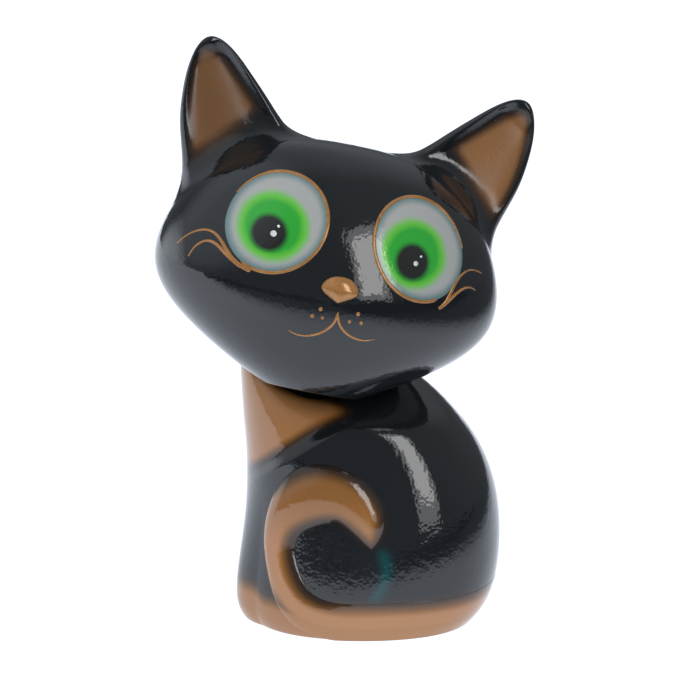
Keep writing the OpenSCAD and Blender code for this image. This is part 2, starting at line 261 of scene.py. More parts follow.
# Each row, from foot to rim: front and back edge in shares of the length, half depth in
# shares of the width, and height in shares of the height.
BODY = clamped([[-0.458, 0.445, 0.510, 0.000], [-0.500, 0.500, 0.535, 0.060],
                [-0.490, 0.538, 0.531, 0.200], [-0.463, 0.542, 0.498, 0.430],
                [-0.458, 0.485, 0.462, 0.650], [-0.480, 0.335, 0.404, 0.860],
                [-0.492, 0.100, 0.260, 0.970]])
body_curve = spline(BODY, np.linspace(0, len(BODY) - 3, 1200)) * [BODY_L, BODY_L, BODY_W, BODY_H]
RIM_Z = body_curve[-1, 3]


def over_ridge(x, z):
    """Height over the flank's edge, a straight slope that bends down at the chest."""
    bend = RIDGE_BEND * np.maximum(RIDGE_X - x, 0) ** 2
    return z - RIDGE_Z - RIDGE_SLOPE * (x - RIDGE_X) + bend


def leg_swelling(angle, z):
    """Rise of the two forelegs: a parabola across each, fading towards the shoulder."""
    u = np.clip(z / LEG_H, 0, 1)
    v = (180 - np.abs(angle) - LEG_APART * LEG_W / AROUND) * AROUND / (LEG_W / 2)
    across = np.clip(1 - v**2, 0, 1) ** 1.3
    return LEG_RISE * across * (1 - 0.35 * smooth(0.25, 0.8, u)) * (1 - u**4) ** 1.5


def body_point(angle, z, inside=0.0, legs=False):
    """Point of the body: an oval with its corners filled a little, from the front and back
    edges and the half depth at that height. The angle is in degrees from -180 to 180, 0 at
    the rump and negative on the face side."""
    front, back, depth = [np.interp(z, body_curve[:, 3], body_curve[:, k]) for k in (0, 1, 2)]
    if legs:
        inside = inside - leg_swelling(angle, z)
    c, s = np.cos(np.radians(angle)), np.sin(np.radians(angle))
    x = (front + back) / 2 + ((back - front) / 2 - inside) * c * (1 + SQUARENESS * s * s)
    sunk = FLANK_RISE * smooth(-1.5, 4, over_ridge(x, z))
    y = (depth - inside - sunk) * s * (1 + SQUARENESS * c * c)
    climb = NECK_RISE * (1 + np.cos(np.radians(angle - NECK_SIDE)))
    top = smooth(0.8, 1, z / RIM_Z)
    return np.stack([x, y, z - top * (RIM_LIFT * c + RIM_DIP * s * s - climb)], -1)


def rim_height(angle, inside):
    """Where each column ends: the first height at which it enters the head, or the rim."""
    z = np.linspace(20, RIM_Z, 700)[:, None]
    free = outside_head((body_point(angle[None, :], z, inside) - HEAD_AT) @ TILT) > 0
    return np.where(free.all(0), RIM_Z, z[np.argmin(free, 0), 0])


# %% Where the tail runs
# Each row is an angle round the body and a height, as a share of the way from the lowest
# place of the tail's middle line to the highest.
TAIL = clamped([[-4, 0], [-30, 0], [-56, 0], [-83, 0], [-105, -0.02], [-122, 0.10],
                [-130.3, 0.37], [-134.3, 0.65], [-127, 0.88], [-109.5, 1.03], [-97, 0.96],
                [-91.5, 0.76], [-90.5, 0.58]])
TAIL_END = len(TAIL) - 3
ROOT_W, RISING_W, TAIL_W, TAIL_RISE, TAIL_H = 16.5, 15.5, 24.0, 5.0, 72.5


def tail_middle(u):
    """Middle line of the tail as (angle, height), from the rump to the tip of the curl."""
    p = spline(TAIL, TAIL_END * np.clip(u, 0, 1))
    low, high = ROOT_W / 2, TAIL_H - TAIL_W / 2
    return np.stack([p[..., 0], low + p[..., 1] * (high - low)], -1)


def tip_taper(u):
    """1 along the tail, then falling to 0 over its last quarter: a power of the share of
    that quarter, taken from one."""
    return np.maximum(1 - np.clip((u - 0.75) / 0.25, 0, 1) ** 1.7, 0) ** 0.8


def tail_half(u):
    """Half width: slimmer where it rises, widest in the curl, then tapering to its tip."""
    width = ROOT_W + (RISING_W - ROOT_W) * smooth(0.3, 0.45, u)
    width = width + (TAIL_W - RISING_W) * smooth(0.5, 0.75, u)
    return width / 2 * tip_taper(u)


def off_tail(angle, z):
    """Distance in mm from the edge of the tail's band, below zero inside it: the least, over
    the middle line, of the distance to it less the half width there."""
    u = np.linspace(0, 1, 160)
    middle, half = tail_middle(u), tail_half(u)
    best = np.full(np.broadcast(angle, z).shape, 1e9)
    for (around, up), w in zip(middle, half):
        best = np.minimum(best, np.hypot((angle - around) * AROUND, z - up) - w)
    return best


# %% Airbrushed colour of the body
BAND_H = 18.0           # height of the tan band round the foot
PAW_H = 21.5            # and of the tan on the paws
TEAL_AT, TEAL_R, TEAL_SOFT = (-105, 29), 18.5, 2.2      # the arc's middle, radius and spread


def tan_on_body(angle, z):
    """Strength of the tan from 0 to 1: the larger of the tail, the chest patch, the paws and
    the band round the foot, each with the soft edge that an airbrush leaves."""
    p = body_point(angle, z)
    outer = smooth(-125, -136, angle) * smooth(-178, -160, angle)
    tail = 1 - smooth(-6.5 + 3.0 * outer, 1.2 + 0.4 * outer, off_tail(angle, z))
    tail = tail * (1 - 0.23 * smooth(34, 66, z))
    chest = smooth(1.5, 9, over_ridge(p[..., 0], z)) * smooth(56, 62, z)
    chest = 0.94 * chest * smooth(0.3, 5.5, RIM_Z - z) * smooth(72, 90, np.abs(angle))
    front = smooth(138, 150, np.abs(angle))
    foot_h = BAND_H + (PAW_H - BAND_H) * front
    foot = 0.96 * (1 - smooth(foot_h - 8.5, foot_h + 1.5, z))
    return np.maximum(np.maximum(tail, chest), foot)


def teal_on_body(angle, z):
    """A thin arc of teal overspray beside the curl: a bell curve of the distance from a
    circle, over part of a turn."""
    x, up = (angle - TEAL_AT[0]) * AROUND, z - TEAL_AT[1]
    r, turn = np.hypot(x, up), np.degrees(np.arctan2(up, x))
    part = smooth(-50, -28, turn) * smooth(38, 18, turn)
    return 0.8 * np.exp(-((r - TEAL_R) / TEAL_SOFT) ** 2) * part


# %% Build the body
COLUMNS = 360
FOOT_ROWS, SIDE_ROWS, LIP_ROWS, LINING_ROWS = 6, 190, 9, 16
FOOT_R = 1.4            # rounding of the foot's outer edge
LIP_RISE = 1.5          # how far the free rim is rounded up
angle = -180 + 360 * np.arange(COLUMNS) / COLUMNS

top_out, top_in = rim_height(angle, 0.0), rim_height(angle, BODY_WALL)
quarter = np.linspace(0, math.pi / 2, FOOT_ROWS)[:, None] + 0 * angle
foot_z, foot_in = FOOT_R * (1 - np.cos(quarter)), FOOT_R * (1 - np.sin(quarter))
up_z = FOOT_R + (top_out - FOOT_R) * np.linspace(0, 1, SIDE_ROWS)[1:, None]
out_z = np.vstack([foot_z, up_z])
outer = body_point(angle, out_z, np.vstack([foot_in, 0 * up_z]), legs=True)

in_z = FLOOR_T + (top_in - FLOOR_T) * np.linspace(1, 0, LINING_ROWS)[:, None]
inner = body_point(angle, in_z, BODY_WALL)
free_rim = smooth(RIM_Z - 2, RIM_Z - 0.5, top_out)[:, None]
turn = np.linspace(0, math.pi, LIP_ROWS)[1:-1, None, None]
lip = ((outer[-1] + inner[0]) / 2 + (outer[-1] - inner[0]) / 2 * np.cos(turn)
       + np.array([0, 0, LIP_RISE]) * free_rim * np.sin(turn))
floor_edge = body_point(angle, 0 * angle, BODY_WALL)
under = np.stack([floor_edge + [0, 0, FLOOR_T - 0.01], floor_edge])
rings = np.concatenate([outer, lip, inner, under])

dark = len(rings) - len(outer)
wrap = angle + 0 * out_z
tan = np.vstack([tan_on_body(wrap, out_z), np.zeros((dark, COLUMNS))])
teal = np.vstack([teal_on_body(wrap, out_z), np.zeros((dark, COLUMNS))])
clay = np.zeros(rings.shape[:2])
clay[:3] = [[1.0], [0.8], [0.3]]            # the glaze is wiped off the edge it stands on
clay[len(outer) + len(lip) + 2:] = 1        # and the lining is bare below its first rows
body = skin("body_casting", rings, tan=tan, teal=teal, clay=clay)
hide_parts("torso_shell", "foreleg_left", "foreleg_right")
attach(body, "root")

# %% [markdown]
# ## The tail
# A low strap modelled on the body, flush at the rump and proud where it curls. Its section
# is a rounded hump, the same on both edges.

# %% Build the tail
TAIL_ROWS, ACROSS = 420, 33
TAIL_PROUD, TAIL_EDGE, TAIL_UNDER = 0.06, -0.4, -0.7       # over or under the body's surface


def tail_rings():
    """Rows along the tail; each runs over the hump, whose height is the rise times one less
    the share across squared, to a power, and back just under the body's surface."""
    u = 1 - (1 - np.linspace(0, 1, TAIL_ROWS)) ** 1.15
    middle = tail_middle(u)
    step = tail_middle(u + 0.01) - tail_middle(u - 0.01)
    step[:, 0] *= AROUND
    step /= np.linalg.norm(step, axis=1, keepdims=True)
    side = np.stack([step[:, 1], -step[:, 0]], 1)
    half = np.maximum(tail_half(u), 0.05)
    v = np.sin(np.linspace(-math.pi / 2, math.pi / 2, ACROSS))
    under = v[::-1][1:-1]
    v_all = np.concatenate([v, under])
    a = middle[:, :1] + v_all * (half * side[:, 0])[:, None] / AROUND
    z = np.maximum(middle[:, 1:] + v_all * (half * side[:, 1])[:, None], 0.02)
    rise = TAIL_RISE * smooth(0.26, 0.6, u) * tip_taper(u) ** 0.6
    hump = rise[:, None] * np.maximum(1 - v_all**2, 0) ** 0.8 + TAIL_PROUD
    hump[:, 0] = hump[:, ACROSS - 1] = TAIL_EDGE
    hump[:, ACROSS:] = TAIL_UNDER
    return body_point(a, z, -hump, legs=True), a, z


tail_points, a, z = tail_rings()
tips = [tail_points[0].mean(0), tail_points[-1].mean(0)]
tail = skin("tail_relief", tail_points, tips, tan=tan_on_body(a, z))
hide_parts("tail")
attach(tail, "root")

# %% [markdown]
# ## The head casting
# The outside runs from the neck opening to the crown, and the lining is the outside made
# smaller. Both close on a point at the crown, where the mirrored row of the profile makes
# the surface level, so no pinch shows.

# %% Build the head
LINING = 1 - HEAD_WALL / (HEAD_W / 2)
HEAD_ROUND, HEAD_ROWS, HEAD_LINING_ROWS = 300, 221, 25
round_head = 2 * math.pi * np.arange(HEAD_ROUND) / HEAD_ROUND
t_out = np.linspace(NECK_OPEN, HEAD_TOP, HEAD_ROWS)[:-1, None]
t_in = np.linspace(HEAD_TOP, NECK_OPEN, HEAD_LINING_ROWS)[1:, None]
casting = np.concatenate([head_point(t_in, round_head) * LINING, head_point(t_out, round_head)])
crown = head_point(np.array(float(HEAD_TOP)), np.array(0.0))
tips = set_on_neck(np.stack([crown * LINING, crown]))
head = skin("head_casting", set_on_neck(casting), tips)
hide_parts("head_shell")
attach(head, "root")

# %% [markdown]
# ## The ears
# Each ear is a lofted cone, pressed in at the front between its two edges. In the clay its
# root was smoothed into the head with a wet finger. Here the joint is a fillet: curves that
# leave the head along its surface and arrive on the ear along its side.

# %% Ear formulas
EAR_L, EAR_W, EAR_D, EAR_CUP = 51.5, 47.0, 26.0, 5.0
# Each row, from root to tip: inner edge across and up, outer edge across and up, in shares
# of the width and the length, then the front and back in shares of the depth.
EAR = [[0.90, -0.22, -0.72, -0.42, 0.75, 0.75], [0.64, -0.03, -0.58, -0.20, 0.62, 0.62],
       [0.44, 0.15, -0.50, 0.10, 0.42, 0.44], [0.34, 0.40, -0.48, 0.38, 0.30, 0.34],
       [0.21, 0.68, -0.40, 0.62, 0.24, 0.26], [0.09, 0.92, -0.29, 0.86, 0.17, 0.20],
       [-0.09, 1.06, -0.09, 1.06, 0.00, 0.00], [-0.29, 0.86, 0.09, 0.92, -0.17, -0.20]]
EAR_ROWS = len(EAR) - 3
EAR_AT = np.array([-0.302 * HEAD_W, 0, 0.393 * HEAD_H])
LEAN, NOD, SPLAY = 22.5, 10, 2.0       # the ear over the rump leans out more, by SPLAY degrees


def ear_place(t, angle):
    """How far across and up the ear a point lies before the ear leans, and its row of the
    profile: between the inner and outer edges by the cosine of the angle."""
    r, c = spline(EAR, t), np.cos(angle)
    across = ((r[..., 0] + r[..., 2]) / 2 + (r[..., 0] - r[..., 2]) / 2 * c) * EAR_W
    up = ((r[..., 1] + r[..., 3]) / 2 + (r[..., 1] - r[..., 3]) / 2 * c) * EAR_L
    return across, up, r


def ear_point(t, angle, lean):
    """Point of the ear at place t from root to tip: forward or back by the sine of the
    angle. The front is pressed in by the cup, which fades out towards the root, the tip and
    both edges."""
    across, up, r = ear_place(t, angle)
    s = np.sin(angle)
    fade = smooth(0.5, 1.6, t) * (1 - smooth(EAR_ROWS - 1.4, EAR_ROWS - 0.3, t))
    cup = EAR_CUP * fade * smooth(0.35, 0.95, np.abs(s))
    y = np.where(s < 0, r[..., 4] * EAR_D * s + cup, r[..., 5] * EAR_D * s)
    return np.stack([across, y, up], -1) @ (turned("y", -lean) @ turned("x", NOD)).T + EAR_AT


def tan_in_ear(t, angle):
    """Tan inside the ear: at the front, some way in from both edges, and above a line that
    climbs towards the inner edge."""
    across, up, r = ear_place(t, angle)
    half, c = (r[..., 0] - r[..., 2]) / 2 * EAR_W, np.cos(angle)
    from_outer, from_inner = half * (1 + c), half * (1 - c)
    bottom = 7 + 0.42 * (across + 20)
    mask = smooth(1.0, 6.5, from_outer) * smooth(3.5, 10.0, from_inner)
    mask = mask * smooth(-4.0, 3.5, up - bottom) * smooth(EAR_L, EAR_L * 0.86, up)
    return mask * (np.sin(angle) < 0)


# %% Build the ears
FLARE = 11.0            # how far the fillet spreads over the head
FILLET_UP = 0.75        # and how far it reaches up the ear, in rows of its profile
EAR_ROUND, FILLET_ROWS, UPPER_ROWS = 128, 22, 70
LEAVE, ARRIVE = 1.1, 0.9        # how strongly the fillet keeps its direction at each end


def ear_rings(mirror, lean):
    """Rings from under the head's surface, through the fillet, to the tip. The fillet is a
    cubic curve between two points with a given direction at each."""
    a = 2 * math.pi * np.arange(EAR_ROUND) / EAR_ROUND
    t = np.linspace(0, 3.5, 700)[:, None]
    inside = outside_head(ear_point(t, a + 0 * t, lean)) < 0
    leaves = t[len(t) - 1 - np.argmax(inside[::-1], 0), 0]
    exit_at = ear_point(leaves, a, lean)
    start = leaves + FILLET_UP
    joins = ear_point(start, a, lean)
    along = ear_point(start + 0.02, a, lean) - joins
    along /= np.linalg.norm(along, axis=1, keepdims=True)
    out = exit_at - exit_at.mean(0)
    out /= np.linalg.norm(out, axis=1, keepdims=True)
    on_head = onto_head(exit_at + out * FLARE)
    inward = onto_head(exit_at + out * FLARE * 0.85) - on_head
    inward /= np.linalg.norm(inward, axis=1, keepdims=True)
    reach = np.linalg.norm(joins - on_head, axis=1, keepdims=True)
    s = np.linspace(0, 1, FILLET_ROWS)[:, None, None]
    fillet = ((2 * s**3 - 3 * s**2 + 1) * on_head + (s**3 - 2 * s**2 + s) * reach * inward * LEAVE
              + (3 * s**2 - 2 * s**3) * joins + (s**3 - s**2) * reach * along * ARRIVE)
    fillet *= 1 - 0.003 * (1 - s) ** 4          # its outer edge lies just under the head's surface
    up = np.linspace(0, 1, UPPER_ROWS)[1:-1, None]
    rest = start + (EAR_ROWS - start) * (1 - (1 - up) ** 1.6)
    upper = ear_point(rest, a + 0 * rest, lean)
    buried = np.stack([on_head * 0.93, on_head * 0.985])
    rings = np.concatenate([buried, fillet, upper])
    share = np.linspace(0, 1, FILLET_ROWS)[:, None]
    low = tan_in_ear(leaves + share * FILLET_UP, a + 0 * share) * smooth(0.35, 0.8, share)
    tan = np.vstack([np.zeros((len(buried), EAR_ROUND)), low, tan_in_ear(rest, a + 0 * rest)])
    tips = np.stack([buried[0].mean(0), ear_point(np.array(float(EAR_ROWS)), np.array(0.0), lean)])
    flip = np.array([-1.0 if mirror else 1.0, 1, 1])
    return set_on_neck(rings * flip), set_on_neck(tips * flip), tan


EARS = (("ear_casting_right", "ear_right", False, LEAN, 0.64),
        ("ear_casting_left", "ear_left", True, LEAN + SPLAY, 0.78))
for name, node, mirror, lean, strength in EARS:
    rings, tips, tan = ear_rings(mirror, lean)
    ear = skin(name, rings, tips, tan=tan * strength, satin=tan)
    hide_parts(node)
    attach(ear, "root")

# %% [markdown]
# ## The eyes and the nose
# The eyes are airbrushed ovals: a pale ground, a green ring fading out, and a soft black
# pupil. Paint has hardly any thickness, so each is a thin lens laid on the face. It keeps
# three measures for its colour: the share of the way to its edge, and the distances from
# the middle of the iris and of the pupil.

# %% Build the eyes
EYE_W, EYE_H, EYE_LEAN, EYE_GAP, EYE_UP = 37.5, 42.5, 33.5, 58.0, 18.0
IRIS_AT = {-1: (-30.2, 15.8), 1: (26.6, 15.3)}       # the eyes look a little to one side
PUPIL_AT = {-1: (-31.4, 13.0), 1: (26.4, 12.2)}
EYE_PAINT = 0.35                    # how far the enamel stands out
BURIED = -0.5                       # how far a patch's underside lies under the surface


def oval(side, share, turn):
    """Place (x, z) in an eye: an ellipse leaning in at the top, mirrored by the side."""
    lean = math.radians(EYE_LEAN)
    a, b = share * EYE_W / 2 * np.cos(turn), share * EYE_H / 2 * np.sin(turn)
    return (side * (EYE_GAP / 2 + a * math.cos(lean) - b * math.sin(lean)),
            EYE_UP + a * math.sin(lean) + b * math.cos(lean))


def patch(name, place, height, rings=40, points=144, **measures):
    """A thin closed lens on the face: rings outwards over the top, then back underneath."""
    turn = 2 * math.pi * np.arange(points) / points
    share = np.concatenate([np.linspace(0, 1, rings + 1)[1:], [1, 0.5]])[:, None]
    lift = height(share)
    lift[-2:] = BURIED
    x, z = place(share, turn + 0 * share)
    middle = place(np.zeros((1, 1)), np.zeros((1, 1)))
    tips = np.concatenate([front_of_head(*middle, height(np.zeros((1, 1)))),
                           front_of_head(*middle, np.full((1, 1), BURIED))])[:, 0]
    stains = {key: measure(share + 0 * x, x, z) for key, measure in measures.items()}
    return skin(name, set_on_neck(front_of_head(x, z, lift + 0 * x)), set_on_neck(tips), **stains)


def lens(share):
    """Height of the enamel: flat, and rounded off over the last of the way to its edge."""
    return EYE_PAINT * np.sqrt(np.maximum(1 - share**6, 0)) - 0.02


for name, node, side in (("eye_enamel_right", "eye_right", -1), ("eye_enamel_left", "eye_left", 1)):
    iris_at, pupil_at = IRIS_AT[side], PUPIL_AT[side]
    eye = patch(name, lambda share, turn: oval(side, share, turn), lens,
                edge=lambda share, x, z: share,
                iris=lambda share, x, z: np.hypot(x - iris_at[0], z - iris_at[1]),
                pupil=lambda share, x, z: np.hypot(x - pupil_at[0], (z - pupil_at[1]) * 0.96))
    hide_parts(node)
    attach(eye, "root")

# %% Build the nose
NOSE_W, NOSE_H, NOSE_RISE, NOSE_ASIDE = 15.0, 10.5, 3.0, 0.8


def shield(share, turn):
    """Outline whose power falls from two at the top, an arch, to one below, a point."""
    c, s = np.cos(turn), np.sin(turn)
    p = 1.62 + 0.45 * s
    out = share / (np.abs(c) ** p + np.abs(s) ** p) ** (1 / p)
    return out * NOSE_W / 2 * c - NOSE_ASIDE, -NOSE_DOWN + out * NOSE_H / 2 * s


def button(share):
    """Height of the nose: one less a power of the share of the way out, to a power."""
    return 0.25 + NOSE_RISE * np.maximum(1 - share**2.2, 0) ** 0.62


nose = patch("nose_button", shield, button)
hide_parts("nose")
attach(nose, "root")

# %% [markdown]
# ## Brush lines
# The eye outlines, lashes, mouth and whisker dots are drawn with a loaded brush, so the
# paint stands a little proud and each stroke swells and thins. A stroke is a low hump
# carried along a path on the face; a dot is a tiny dome.

# %% Strokes and dots
STROKE_RISE = 0.3       # how far a line stands out
HAIR = 0.16             # and its least width


def stroke(path, width, rows):
    """Rings of a stroke: at each place on the path, a hump of the given width across it and
    its underside just below the glaze. The width is a function of the share along."""
    u = np.linspace(0, 1, rows)
    at, ahead, behind = path(u), path(np.minimum(u + 0.01, 1)), path(np.maximum(u - 0.01, 0))
    step = ahead - behind
    step /= np.linalg.norm(step, axis=1, keepdims=True)
    side = np.stack([-step[:, 1], step[:, 0]], 1)
    half = np.maximum(width(u), HAIR) / 2
    v = np.array([-1, -0.85, -0.5, 0, 0.5, 0.85, 1, 0.5, -0.5])
    lift = np.array([-0.1, 0.55, 0.9, 1, 0.9, 0.55, -0.1, -1, -1]) * STROKE_RISE
    x = at[:, :1] + side[:, :1] * half[:, None] * v
    z = at[:, 1:] + side[:, 1:] * half[:, None] * v
    return front_of_head(x, z, lift * np.minimum(half[:, None] * 1.6, 1) + EYE_PAINT * 0.2)


def joined(name, made):
    """Several finished pieces as one object, their meshes put end to end."""
    with bpy.context.temp_override(active_object=made[0], selected_editable_objects=made):
        bpy.ops.object.join()
    made[0].name = made[0].data.name = name
    return made[0]


def brushed(name, strokes):
    """One piece from several strokes, each closed at both ends, joined into one mesh."""
    made = []
    for k, (path, width, rows) in enumerate(strokes):
        rings = stroke(path, width, rows)
        tips = np.stack([rings[0].mean(0), rings[-1].mean(0)])
        made.append(skin(f"{name}_{k}", set_on_neck(rings), set_on_neck(tips)))
    return joined(name, made)


def through(*points):
    """A path through a few places on the face, as a clamped B-spline."""
    rows = clamped(points)
    return lambda u: spline(rows, np.clip(u, 0, 1) * (len(rows) - 3))


LEAST = 0.35            # share of its greatest width that a stroke keeps at its ends


def brush(most, start, end):
    """Width of a stroke that swells over its start and thins over its end."""
    return lambda u: most * (LEAST + (1 - LEAST) * smooth(0, start, u) * smooth(1, 1 - end, u))


def outline(side, first, last):
    """Part of an eye's edge, between two turns in degrees."""
    def path(u):
        return np.stack(oval(side, 1.0, np.radians(first + (last - first) * u)), -1)
    return path


STROKES = {
    "eye_lines_right": [
        (outline(-1, -5, 268), brush(1.35, 0.2, 0.02), 220),
        (through((-36.0, -3.2), (-39.7, -2.2), (-44.9, 1.3), (-48.6, 6.6), (-51.7, 9.6),
                 (-56.0, 10.2), (-61.4, 7.0), (-64.5, 2.5)), brush(1.5, 0.02, 0.75), 90),
        (through((-39.7, -2.4), (-46.0, 1.3), (-50.2, 5.2), (-54.0, 6.2), (-58.0, 3.2),
                 (-59.7, -1.8)), brush(1.4, 0.02, 0.75), 70)],
    "eye_lines_left": [
        (outline(1, -20, 266), brush(1.35, 0.2, 0.02), 220),
        (through((42.0, -3.0), (43.9, -0.8), (45.2, 3.6), (47.1, 9.6), (52.0, 14.8), (58.4, 13.6)),
         brush(1.5, 0.02, 0.75), 80),
        (through((41.0, -3.9), (44.0, -1.2), (47.1, 3.0), (50.6, 6.4), (54.0, 7.2), (56.3, 6.2)),
         brush(1.4, 0.02, 0.75), 70)],
    "mouth_line": [
        (through((0.2, -12.6), (0.0, -16.5), (-2.6, -20.7), (-8.0, -24.0), (-13.6, -24.6),
                 (-17.0, -23.2)), brush(1.05, 0.05, 0.6), 90),
        (through((0.3, -13.5), (1.2, -16.8), (4.2, -19.9), (9.0, -21.9), (14.2, -21.9),
                 (17.2, -20.3)), brush(1.05, 0.05, 0.6), 90)],
}
for name, strokes in STROKES.items():
    lines = brushed(name, strokes)
    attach(lines, "root")


def dot(name, x, z, r):
    """A low dome of radius r at (x, z) on the face: a circle, raised by the root of one less
    the share of the way out squared."""
    return patch(name, lambda share, turn: (x + share * r * np.cos(turn),
                                            z + share * r * np.sin(turn)),
                 lambda share: (EYE_PAINT + STROKE_RISE * np.sqrt(np.maximum(1 - share**2, 0))
                                * min(r, 1)), rings=5, points=24)


def dots(name, places):
    """One piece from several dots, each given as (x, z, radius)."""
    piece = joined(name, [dot(f"{name}_{k}", *place) for k, place in enumerate(places)])
    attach(piece, "root")


dots("whisker_dots", [(-6.8, -12.7, 0.8), (-9.4, -15.9, 0.8), (-5.4, -15.9, 0.65),
                      (8.1, -11.9, 0.8), (5.4, -15.4, 0.65), (10.1, -15.1, 0.75)])
dots("pupil_dots", [(-29.7, 13.0, 1.25), (-28.2, 16.2, 0.6), (27.9, 11.9, 1.0), (29.7, 15.0, 0.5)])

# %% [markdown]
# ## Node helpers
# A material's maths reads best as a formula. This class wraps an output socket and turns
# +, -, * and / into Math nodes, so 1 - mask works on a socket as it does on a number.


# %% Nodes as expressions
class Value:
    """A value that varies over the surface."""

    def __init__(self, paint, socket):
        self.paint, self.socket = paint, socket

    def maths(self, operation, a, b):
        return self.paint.node("ShaderNodeMath", {"operation": operation}, {0: a, 1: b})

    def __add__(self, other):
        return self.maths("ADD", self, other)

    def __sub__(self, other):
        return self.maths("SUBTRACT", self, other)

    def __rsub__(self, other):
        return self.maths("SUBTRACT", other, self)

    def __mul__(self, other):
        return self.maths("MULTIPLY", self, other)

    def __truediv__(self, other):
        return self.maths("DIVIDE", self, other)

    __radd__, __rmul__ = __add__, __mul__

    def soft(self, low, high):
        """Smooth step from 0 at low to 1 at high."""
        return self.paint.node("ShaderNodeMapRange", {"interpolation_type": "SMOOTHSTEP"},
                               {"Value": self, "From Min": low, "From Max": high})


MIX_COLOUR_A, MIX_COLOUR_B, MIX_COLOUR_OUT = 6, 7, 2     # a Mix node's sockets for colours


class Graph:
    """A node tree that grows by one call a node. Its patterns lie on Object coordinates."""
    coordinate = "Object"

    def __init__(self, tree):
        self.tree = tree
        self.place = self.node("ShaderNodeTexCoord", {}, {}, self.coordinate)

    def feed(self, node, inputs):
        """Gives each named socket of the node a link or a plain value."""
        for key, value in inputs.items():
            if isinstance(value, Value):
                self.tree.links.new(value.socket, node.inputs[key])
            else:
                node.inputs[key].default_value = value

    def node(self, kind, settings, inputs, out=0):
        """Adds a node of this type, sets it, fills its sockets and gives back one output. The
        setting called stops fills a colour ramp."""
        made = self.tree.nodes.new(kind)
        for key, value in settings.items():
            if key == "stops":
                elements = made.color_ramp.elements
                while len(elements) < len(value):
                    elements.new(0.5)
                for element, (place, colour) in zip(elements, value):
                    element.position, element.color = place, (*colour, 1.0)
            else:
                setattr(made, key, value)
        self.feed(made, inputs)
        return Value(self, made.outputs[out])

    def noise(self, per_metre, detail=2.0, rough=0.5):
        """Noise from 0 to 1, with so many waves a metre."""
        return self.node("ShaderNodeTexNoise", {}, {"Vector": self.place, "Scale": per_metre,
                                                   "Detail": detail, "Roughness": rough})

    def mix(self, share, a, b):
        """Colour a where the share is 0 and b where it is 1."""
        a, b = [v if isinstance(v, Value) else (*v, 1.0) for v in (a, b)]
        return self.node("ShaderNodeMix", {"data_type": "RGBA"},
                         {0: share, MIX_COLOUR_A: a, MIX_COLOUR_B: b}, MIX_COLOUR_OUT)

    def ramp(self, value, stops):
        """Colour at a value, from stops given as (place, colour)."""
        return self.node("ShaderNodeValToRGB", {"stops": stops}, {"Fac": value}, "Color")

    def axis(self, name):
        """X, Y or Z of the place, in metres."""
        return self.node("ShaderNodeSeparateXYZ", {}, {"Vector": self.place}, name)


class Paint(Graph):
    """A material with one Principled shader."""

    def __init__(self, name, **constants):
        self.material = bpy.data.materials.new(name)
        self.material.use_nodes = True
        super().__init__(self.material.node_tree)
        self.shader = self.tree.nodes["Principled BSDF"]
        self.feed(self.shader, {key.replace("_", " "): value for key, value in constants.items()})

    def stain(self, name):
        """A number that the mesh keeps at each point, 0 where a mesh has none of that name."""
        return self.node("ShaderNodeAttribute", {"attribute_name": name}, {}, "Fac")

    def bump(self, height, far):
        """Feeds the shader's normal from a height, in units of far metres."""
        raised = self.node("ShaderNodeBump", {}, {"Distance": far, "Height": height}, "Normal")
        self.feed(self.shader, {"Normal": raised})


class Room(Graph):
    """The surround, as light that arrives from each direction."""
    coordinate = "Generated"

    def lobe(self, az, el, inner, outer):
        """1 within inner degrees of a direction and 0 beyond outer: a smooth step of the dot
        product. The direction is az degrees right of the camera and el degrees up."""
        az, el, inner, outer = map(math.radians, (az, el, inner, outer))
        aim = (math.sin(az) * math.cos(el), -math.cos(az) * math.cos(el), math.sin(el))
        near = self.node("ShaderNodeVectorMath", {"operation": "DOT_PRODUCT"},
                         {0: self.place, 1: aim}, "Value")
        return near.soft(math.cos(outer), math.cos(inner))


# %% [markdown]
# ## The glaze
# Under the gloss lies near-black paint with tan airbrushed over it. Where the tan thins out
# the black shows through, and it passes orange-brown on the way. The sprayed lacquer has
# an orange peel: waves a millimetre or two long, which break up the edge of a reflection.

# %% Glaze material
BLACK = (0.010, 0.012, 0.014)
TAN_STOPS = [(0.0, BLACK), (0.33, (0.045, 0.022, 0.010)), (0.64, (0.155, 0.068, 0.020)),
             (0.84, (0.28, 0.118, 0.032)), (1.0, (0.40, 0.187, 0.076))]
TEAL = (0.004, 0.06, 0.065)
CLAY = (0.55, 0.45, 0.35)
GLOSS_IOR = 1.62
PEEL_HIGH = 0.00006         # metres of height for one unit of noise


def orange_peel(paint):
    """Height of the lacquer's waves, long and short, with a few dust nibs."""
    waves = paint.noise(330, 1.0) * 1.1 + paint.noise(900, 0.0) * 0.45
    nibs = paint.node("ShaderNodeTexVoronoi", {}, {"Vector": paint.place, "Scale": 70.0},
                      "Distance")
    nib = (1 - nibs.soft(0.02, 0.045)) * paint.noise(55, 0.0).soft(0.56, 0.6)
    paint.bump(waves + nib * 2.2, PEEL_HIGH)


glaze = Paint("airbrushed_gloss_glaze", IOR=GLOSS_IOR)
spray = (glaze.noise(900, 3.0, 0.7) - 0.5) * 0.14 + (glaze.noise(60, 3.0) - 0.5) * 0.16
tan_strength = glaze.stain("tan")
tan_strength = tan_strength + spray * tan_strength * (1.15 - tan_strength)
colour = glaze.ramp(tan_strength, TAN_STOPS)
colour = glaze.mix(glaze.stain("teal"), colour, TEAL)
bare = glaze.stain("clay").soft(0.35, 0.6)
colour = glaze.mix(bare, colour, CLAY)
smudge = glaze.noise(35, 4.0).soft(0.35, 0.75)
rough = 0.045 + smudge * 0.03 + bare * 0.7 + glaze.stain("satin") * 0.33
glaze.feed(glaze.shader, {"Base Color": colour, "Roughness": rough})
orange_peel(glaze)

